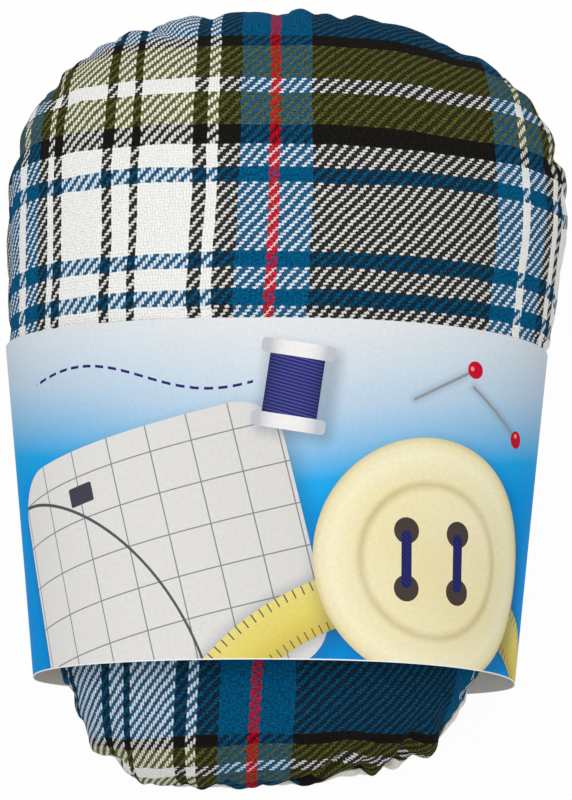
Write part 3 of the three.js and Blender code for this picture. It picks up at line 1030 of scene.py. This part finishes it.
for piece, material, node, slot, thickness in (
        (cover_face, tartan, "cover_top", "tartan_wool", 1.2 * mm),
        (cover_underside, cotton, "cover_bottom", "cream_cotton", 0.6 * mm)):
    piece.data.materials.append(material)
    thicken(piece, thickness)
    bpy.ops.object.shade_smooth()
    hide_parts(node)
    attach(piece, "ham")

# %% [markdown]
# ## The card sleeve
# The sleeve is cut flat, printed, bent round the ham and glued where its ends overlap underneath. Making it
# the same way keeps the print honest: a flat grid gets the blank's own measurements as its map, and only then
# is every column of it moved onto the bent path. The path is tight round the thick part of the ham and a
# little roomy at the narrow mouth, so the sleeve is a slightly tapered tube.

# %% Cut the blank and bend it
sleeve = new_grid("card_sleeve", columns - 1, rows - 1)
blank = points_of(sleeve)
column = np.rint((blank[:, 0] + 1) / 2 * (columns - 1)).astype(int)
along = (blank[:, 1] + 1) / 2
across = wide_run[column] * along + narrow_run[column] * (1 - along)
bent = wide_points[column] * along[:, None] + narrow_points[column] * (1 - along)[:, None]
y = mouth_y - card_length * (1 - along)
# card is springy: its cut edges wave a little
wave = 0.35 * mm * np.sin(across / (31 * mm) + 0.6) * np.abs(2 * along - 1) ** 3
move_points(sleeve, np.stack([bent[:, 0], y + wave, bent[:, 1]], 1))
write_map(sleeve, "blank", across, along * card_length)
print("the bent blank has", len(blank), "points")

# %% [markdown]
# ## The print
# The outside of the card is printed and glossy, with a sky that runs from nearly white to a strong blue and
# sewing things laid on it: squared pattern paper, a big button, a reel with a running stitch, a tape and two
# pins. Every motif is a distance worked out on the flat blank in millimetres, so the edges stay sharp at
# any size. A soft shadow under each motif is the same distance, blurred. The inside is bare grey board.

# %% Shapes on the flat blank
card_print, tree = new_material("printed_card")
blank_map, side, up = map_axes(tree, "blank")
side, up = side * 1000, up * 1000


def shifted(place, x, y):
    """Coordinates about a point."""
    return place[0] - x, place[1] - y


def turned(centre, degrees):
    """Coordinates about a point of the blank, turned by an angle."""
    x, y = shifted((side, up), *centre)
    c, s = math.cos(math.radians(degrees)), math.sin(math.radians(degrees))
    return x * c + y * s, y * c - x * s


def length(x, y):
    return calc("SQRT", x * x + y * y)


def disc_distance(place, radius):
    """Distance to a disc. It is negative inside, as the next one's is."""
    return length(*place) - radius


def box_distance(place, half, corner):
    """Distance to a box with rounded corners."""
    outer = [calc("MAXIMUM", calc("ABSOLUTE", value) - (size - corner), 0)
             for value, size in zip(place, half)]
    return disc_distance(outer, corner)


def nearest(distances):
    """Distance to the nearest of several shapes."""
    found = distances[0]
    for distance in distances[1:]:
        found = calc("MINIMUM", found, distance)
    return found


def lay(under, share, colour):
    return blend_colours(tree, share, under, colour)


def lay_shape(under, distance, colour):
    """Lay a colour on the inside of a shape."""
    return lay(under, calc("LESS_THAN", distance, 0), colour)


def lay_shadow(under, distance, reach, strength):
    """Lay a soft shadow: full inside the shape, gone at the reach."""
    node = tree.nodes.new("ShaderNodeMapRange")
    node.interpolation_type = "SMOOTHSTEP"
    for socket, number in zip(node.inputs[1:5], (-reach / 2, reach, strength, 0)):
        socket.default_value = number
    wire(distance, node.inputs[0])
    return lay(under, node.outputs[0], srgb(40, 60, 90))


def lines(value, pitch, width):
    """1 on thin lines that repeat at a pitch."""
    away = calc("ABSOLUTE", calc("FLOORED_MODULO", value, pitch) - pitch / 2)
    return calc("LESS_THAN", away, width / 2)


# %% Sky and squared paper
ink, navy = srgb(92, 92, 98), srgb(44, 46, 116)
sky_height = calc("ABSOLUTE", side) * -0.16 + up
printed = colour_ramp(tree, calc("DIVIDE", sky_height, card_length / mm, clamp=True), [
    (0, srgb(0, 152, 233)), (0.2, srgb(0, 154, 235)), (0.4, srgb(0, 158, 238)), (0.5, srgb(34, 172, 239)),
    (0.59, srgb(136, 194, 233)), (0.7, srgb(188, 213, 234)), (0.82, srgb(212, 225, 235)),
    (0.92, srgb(226, 231, 235)), (1, srgb(232, 235, 236))])
sheet_half, sheet_corner, sheet_turn, line_width = (54, 47), 16, 14, 0.45
sheet = turned((-42, 34), sheet_turn)
sheet_shadow = box_distance(turned((-40, 31), sheet_turn), sheet_half, sheet_corner)
printed = lay_shadow(printed, sheet_shadow, 7, 0.4)
paper = colour_ramp(tree, calc("MULTIPLY_ADD", sheet[0], 1 / 110, 0.5, clamp=True), [
    (0, srgb(238, 236, 233)), (1, srgb(222, 220, 217))])
squares = calc("MAXIMUM", lines(sheet[0], 15, line_width), lines(sheet[1], 15, line_width))
paper = lay(paper, squares * 0.75, ink)
from_corner = shifted(sheet, -62, -52)
curve = disc_distance((from_corner[0], from_corner[1] * 0.8), 72)
paper = lay(paper, calc("LESS_THAN", calc("ABSOLUTE", curve), line_width), ink)
paper = lay_shape(paper, box_distance(shifted(sheet, -22, 31), (5, 3.4), 0.8), srgb(70, 72, 84))
printed = lay_shape(printed, box_distance(sheet, sheet_half, sheet_corner), paper)
print("sky and paper:", len(tree.nodes), "nodes")

# %% Tape
tape_radius, tape_half = 92, 9
bend = shifted((side, up), 52, -66)
tape_round = length(*bend)
tape_distance = calc("ABSOLUTE", tape_round - tape_radius) - tape_half
printed = lay_shadow(printed, tape_distance, 5, 0.4)
from_inner_edge = tape_round - (tape_radius - tape_half)
tape = colour_ramp(tree, calc("DIVIDE", from_inner_edge, 2 * tape_half, clamp=True), [
    (0, srgb(214, 190, 84)), (0.5, srgb(232, 214, 110)), (1, srgb(238, 222, 128))])
run_along = calc("ARCTAN2", bend[0], bend[1]) * tape_radius
near_edge = calc("GREATER_THAN", tape_distance, -3.2)
tape = lay(tape, near_edge * lines(run_along, 3, line_width), ink)
printed = lay_shape(printed, tape_distance, tape)
print("and the tape:", len(tree.nodes), "nodes")

# %% Button
button_radius, hole_radius, hole_place = 43, 4.6, 10
button_place = shifted((side, up), 56, 36)
printed = lay_shadow(printed, disc_distance(shifted((side, up), 58.5, 32.5), button_radius), 8, 0.45)
button = colour_ramp(tree, calc("DIVIDE", length(*button_place), button_radius, clamp=True), [
    (0, srgb(240, 226, 172)), (0.56, srgb(246, 234, 184)), (0.62, srgb(214, 196, 140)),
    (0.67, srgb(244, 232, 182)), (0.86, srgb(252, 244, 204)), (0.95, srgb(244, 232, 184)),
    (1, srgb(214, 198, 140))])
button = lay(button, spread(tree, noise(tree, 30, 3, blank_map), 0, 0.35), srgb(250, 244, 220))
ends = (-hole_place, hole_place)
holes = nearest([disc_distance(shifted(button_place, x, y), hole_radius) for x in ends for y in ends])
button = lay_shape(button, holes, srgb(74, 66, 62))
bars = nearest([box_distance(shifted(button_place, x, 0), (1.9, hole_place), 1.8) for x in ends])
slant = button_place[0] * 0.8 + button_place[1]
button = lay_shape(button, bars, lay(srgb(46, 48, 112), lines(slant, 1.5, 0.4), srgb(28, 30, 74)))
printed = lay_shape(printed, disc_distance(button_place, button_radius), button)
print("and the button:", len(tree.nodes), "nodes")

# %% Reel
reel_turn = -8
reel = turned((6, 95), reel_turn)
printed = lay_shadow(printed, box_distance(turned((8, 93), reel_turn), (12, 15), 2), 5, 0.4)
slant = reel[0] * 0.12 + reel[1]
wound = lay(navy, lines(slant, 1.2, 0.35), srgb(86, 90, 158))
edge_shade = calc("POWER", calc("DIVIDE", calc("ABSOLUTE", reel[0]), 10, clamp=True), 3)
wound = lay(wound, edge_shade * 0.6, srgb(16, 16, 48))
printed = lay_shape(printed, box_distance(reel, (9.6, 12), 1), wound)
flange_colour = lay(srgb(244, 244, 242), edge_shade, srgb(196, 198, 206))
for end in (-13, 13):
    printed = lay_shape(printed, box_distance(shifted(reel, 0, end), (13, 2.6), 1.6), flange_colour)
print("and the reel:", len(tree.nodes), "nodes")

# %% Running stitch and pins
wave_height = calc("SINE", side / 15) * 5 + 99
on_line = calc("LESS_THAN", calc("ABSOLUTE", up - wave_height), 0.5)
dash = calc("LESS_THAN", calc("FLOORED_MODULO", side, 5), 3.2)
left_part = calc("LESS_THAN", calc("ABSOLUTE", side + 50), 42)
printed = lay(printed, on_line * dash * left_part, navy)
for centre, degrees in (((60, 98), 28), ((82, 91), -36)):
    pin = turned(centre, degrees)
    shaft = box_distance(pin, (13, 0.5), 0.4)
    printed = lay_shadow(printed, shaft - 0.4, 2.4, 0.25)
    printed = lay_shape(printed, shaft, srgb(150, 154, 160))
    printed = lay_shape(printed, disc_distance(shifted(pin, 14, 0), 3.1), srgb(204, 20, 44))
    printed = lay_shape(printed, disc_distance(shifted(pin, 13, 0.9), 0.8), srgb(244, 150, 160))
print("and the stitch and pins:", len(tree.nodes), "nodes")

# %% Gloss of the print, and the bare inside
speckle = spread(tree, noise(tree, 700, 2, blank_map), 0.0, 0.06)
printed = lay(printed, speckle, srgb(0, 0, 0))
# a thin white band along the narrow mouth's edge: an unprinted margin, and a painted highlight in place of the
# lit cut edge of the card
printed = lay(printed, calc("LESS_THAN", up, 0.4), srgb(250, 250, 250))
set_shader(tree, printed, 0.42, Specular_IOR_Level=0.0, Coat_Weight=0.05, Coat_Roughness=0.16)
add_relief(tree, noise(tree, 22, 2, blank_map), 0.25, 1.5 * mm, "Coat Normal")
print("print:", len(tree.nodes), "nodes")

bare_card, tree = new_material("bare_card")
place = tree.nodes.new("ShaderNodeTexCoord").outputs["Object"]
fibre = spread(tree, noise(tree, 900, 4, place, 0.7), 0.93, 1.04)
set_shader(tree, scaled(tree, srgb(222, 220, 216)[:3], fibre), 0.85)
add_relief(tree, fibre, 0.2, 0.1 * mm)

# %% Give the card its thickness
sleeve.data.materials.append(card_print)
sleeve.data.materials.append(bare_card)
thicken(sleeve, card_thickness, material_offset=1)
bpy.ops.object.shade_smooth_by_angle(angle=math.radians(40))
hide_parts("sleeve_band")
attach(sleeve, "sleeve")
print(sleeve.name, len(sleeve.data.polygons), "faces")

# %% [markdown]
# ## Threads
# Three threads hold the ham together: the machine seam of the cover, the seam of the lining bag, and the
# hand stitches that close the gap through which the sawdust went in. A thread is a narrow strip wound round
# its own path, so it too begins as a flat grid. The hand stitches go to and fro over the seam, sink a little
# where the needle went in, and have a knot at each end.

# %% Wind a thread round a path
thread_sides, ply_length = 8, 0.35 * mm


def wind_thread(name, path, radius, sideways):
    """A tube round the path. radius has one number per point; sideways is a direction it never runs along."""
    steps = len(path) - 1
    piece = new_grid(name, steps, thread_sides)
    flat = points_of(piece)
    step = np.rint((flat[:, 0] + 1) / 2 * steps).astype(int)
    angle = (flat[:, 1] + 1) * np.pi
    ahead = np.gradient(path, axis=0)
    if np.linalg.norm(path[0] - path[-1]) < 1e-9:
        ahead[0] = ahead[-1] = path[1] - path[-2]
    first = np.cross(ahead, sideways)
    first /= np.linalg.norm(first, axis=1)[:, None]
    second = np.cross(ahead / np.linalg.norm(ahead, axis=1)[:, None], first)
    ring = np.cos(angle)[:, None] * first[step] + np.sin(angle)[:, None] * second[step]
    run = path_run(path)
    ply = 1 + 0.12 * np.cos(2 * angle - run[step] / ply_length)
    move_points(piece, path[step] + ring * (radius[step] * ply)[:, None])
    write_map(piece, "thread", run[step], angle)
    merge_points(piece, 0.001 * mm, turn_outwards=True)
    bpy.ops.object.shade_smooth()
    print(name, len(piece.data.vertices), "points,", round(run[-1] / mm), "mm long")
    return piece


# %% The hand stitches
low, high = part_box("closing_stitches")
stitch_count, stitch_span, thread_radius, knot_radius = 14, 3.2 * mm, 0.35 * mm, 0.6 * mm
right_seam = seam_row[seam_row[:, 0] > 60 * mm]
anchors = []
for index in range(2 * stitch_count + 1):
    cover, way = ((cover_face, 1), (cover_underside, -1))[index % 2]
    y = low[1] + (high[1] - low[1]) * index / (2 * stitch_count)
    seam_point = right_seam[np.argmin(np.abs(right_seam[:, 1] - y))]
    guess = Vector((seam_point[0] + 0.7 * mm, y, seam_point[2] + way * stitch_span / 2))
    _, place, outward, _ = cover.closest_point_on_mesh(guess)
    anchors.append((np.array(place), np.array(outward)))
stitch_path = []
for (start, start_out), (end, end_out) in zip(anchors[:-1], anchors[1:]):
    for share in np.arange(0, 1, 1 / 8):
        over = (start_out + end_out) / 2 * (0.5 * mm * math.sin(math.pi * share) + 0.12 * mm)
        stitch_path.append(start * (1 - share) + end * share + over)
stitch_path = np.array(stitch_path)
thickness = np.full(len(stitch_path), thread_radius)
thickness[[0, -1]] = 0
thickness[1:4] = thickness[-4:-1] = knot_radius
stitches = wind_thread("hand_stitches", stitch_path, thickness, (1, 0, 0))

# %% The machine seams of the cover and of the lining bag
seam_rows = seam_row - (seam_row - (0, 30 * mm, seam_height)) * 0.006
seam_thread = wind_thread("seam_thread", np.concatenate([seam_rows, seam_rows[:1]]),
                          np.full(len(seam_rows) + 1, 0.3 * mm), (0, 0, 1))
bag_centre, bag_share = np.array((0, crown_y, seam_height)), 0.955
bag_rows = bag_centre + (seam_row[::4] - bag_centre) * (bag_share + 0.004)
bag_thread = wind_thread("lining_thread", np.concatenate([bag_rows, bag_rows[:1]]),
                         np.full(len(bag_rows) + 1, 0.25 * mm), (0, 0, 1))

# %% The thread material
thread_material, tree = new_material("twisted_cotton_thread")
_, along, around = map_axes(tree, "thread")
phase = around * 2 - along / ply_length
strands = calc("COSINE", phase * 5)
height = strands * 0.2 + calc("COSINE", phase)
shade = height * 0.14 + 0.84
set_shader(tree, scaled(tree, srgb(238, 234, 222)[:3], shade), 0.75)
add_relief(tree, height, 0.4, 0.1 * mm)
for piece, node in ((stitches, "closing_stitches"), (seam_thread, "cover_seam_thread"),
                    (bag_thread, "lining_seam_thread")):
    piece.data.materials.append(thread_material)
    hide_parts(node)
    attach(piece, "ham")
print("thread:", len(tree.nodes), "nodes")

# %% [markdown]
# ## Inside the cover
# The lining bag and the sawdust never show, but they are there, and they must stay clear of the gathers,
# which reach a few millimetres into the ham. The solids of the frame have the right form, so copies of them
# are drawn in a little and take the same lean as the cover.

# %% Materials for what lies inside, and for the glue
def bulk_material(name, tint, scale, low, high, rough, weave=None):
    """A grainy material that reads the place in the object, with the yarns of a plain weave if asked."""
    material, tree = new_material(name)
    place = tree.nodes.new("ShaderNodeTexCoord").outputs["Object"]
    grain = spread(tree, noise(tree, scale, 4, place, 0.65), low, high)
    if weave:
        axes = tree.nodes.new("ShaderNodeSeparateXYZ")
        wire(place, axes.inputs[0])
        ridges = [calc("SINE", Value(axes.outputs[axis]) * (math.pi / weave)) for axis in (0, 1)]
        grain = ridges[0] * ridges[1] * 0.1 + grain
    set_shader(tree, scaled(tree, tint[:3], grain), rough)
    add_relief(tree, grain, 0.5, 0.3 * mm)
    print(name, len(tree.nodes), "nodes")
    return material


lining_material = bulk_material("lining_cotton_weave", srgb(228, 218, 192), 160, 0.85, 1.05, 0.9, 0.45 * mm)
sawdust_material = bulk_material("packed_sawdust", srgb(206, 168, 118), 700, 0.6, 1.15, 0.95)
glue_material = bulk_material("set_glue", srgb(236, 230, 206), 260, 0.9, 1.03, 0.4)

# %% Lean copies of the lining and the sawdust
for node, name, material, slot in (("lining_top", "lining_face", lining_material, "lining_cotton"),
                                   ("lining_bottom", "lining_underside", lining_material, "lining_cotton"),
                                   ("sawdust_filling", "packed_filling", sawdust_material, "sawdust")):
    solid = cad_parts[node]
    piece = solid.copy()
    piece.data = solid.data.copy()
    bpy.context.scene.collection.objects.link(piece)
    piece.parent = None
    piece.matrix_world.identity()
    piece.name = piece.data.name = name
    placed = solid.matrix_world
    drawn_in = points_of(piece) @ np.array(placed.to_3x3()).T + np.array(placed.translation)
    drawn_in = bag_centre + (drawn_in - bag_centre) * bag_share
    lean(drawn_in)
    move_points(piece, drawn_in)
    merge_points(piece, 0.001 * mm)
    bpy.ops.object.shade_smooth_by_angle(angle=math.radians(50))
    piece.data.materials.clear()
    piece.data.materials.append(material)
    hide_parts(node)
    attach(piece, "ham")
    print(name, len(piece.data.vertices), "points")

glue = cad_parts["sleeve_glue_strip"]
for place in glue.material_slots:
    place.material = glue_material
print("glue strip has", len(glue.material_slots), "material slot")
